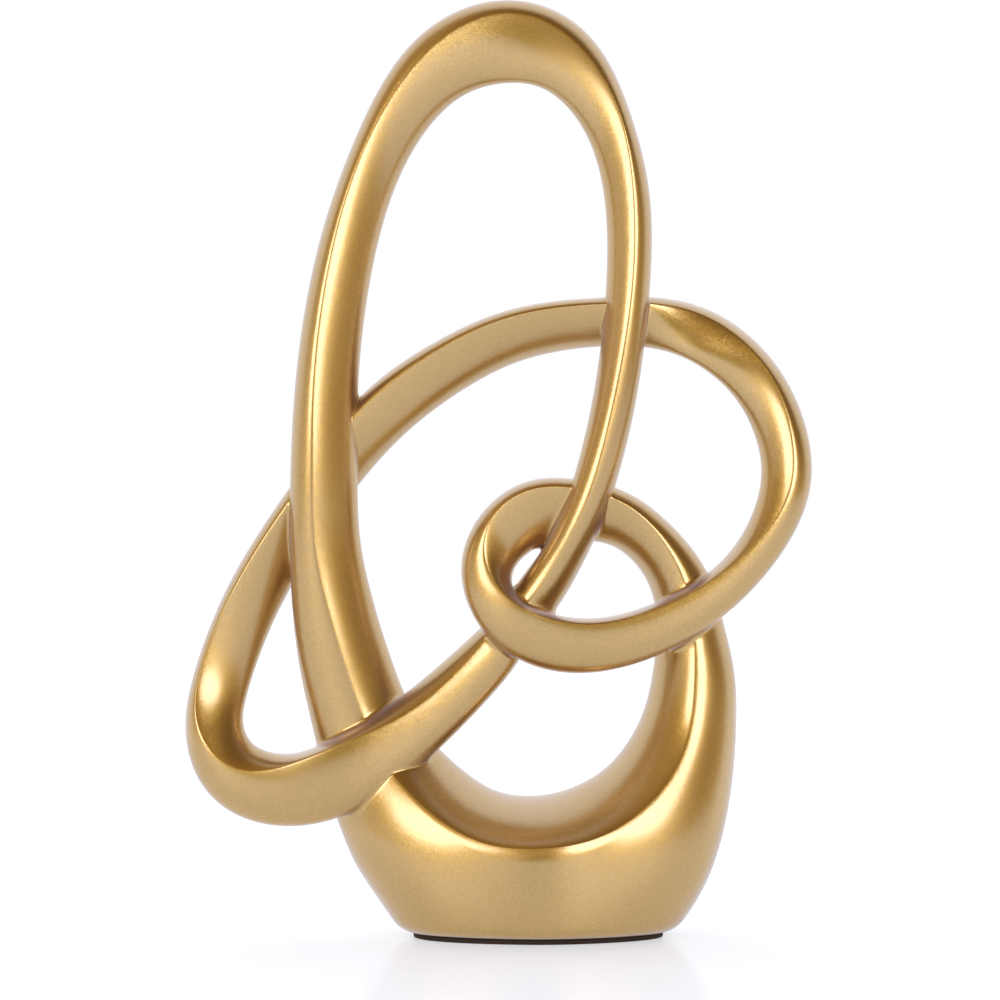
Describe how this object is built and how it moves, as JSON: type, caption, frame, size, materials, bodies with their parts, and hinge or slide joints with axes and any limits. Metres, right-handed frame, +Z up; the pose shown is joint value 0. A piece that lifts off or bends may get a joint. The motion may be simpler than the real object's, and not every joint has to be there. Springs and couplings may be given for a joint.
{
  "type": "knot sculpture",
  "caption": "Free-standing abstract knot sculpture: one endless ridged strand looping over itself and swelling into a bowl-shaped base with a flat padded foot.",
  "frame": {"origin": "middle of the foot, on the underside of the foot pad", "axes": "+Z up, +X to the right as seen from the front, the front faces -Y"},
  "size_m": [0.2009, 0.062, 0.301],
  "materials": {
    "gold_paint": "satin metallic gold paint over cast polyresin, with fine metal flake and a faint orange peel",
    "filler": "resin filler smoothed into the crossings, under the same satin metallic gold paint",
    "steel": "bright drawn steel rod, chamfered ends",
    "foam": "thin closed-cell foam, dark brown-black, matt"
  },
  "bodies": {
    "root": {"tall_loop_casting": "gold_paint", "base_casting": "gold_paint", "ring_loop_casting": "gold_paint", "left_loop_casting": "gold_paint", "fillet_leg_over_ring": "filler", "fillet_ring_over_leg": "filler", "fillet_loop_over_arm": "filler", "fillet_leg_over_arc": "filler", "fillet_left_leg_over_arc": "filler", "fillet_diagonal_over_base": "filler", "dowel_base_inner": "steel", "dowel_base_outer": "steel", "dowel_ring_top": "steel", "dowel_arc": "steel", "dowel_leg": "steel", "foot_pad": "foam"}
  },
  "joints": []
}
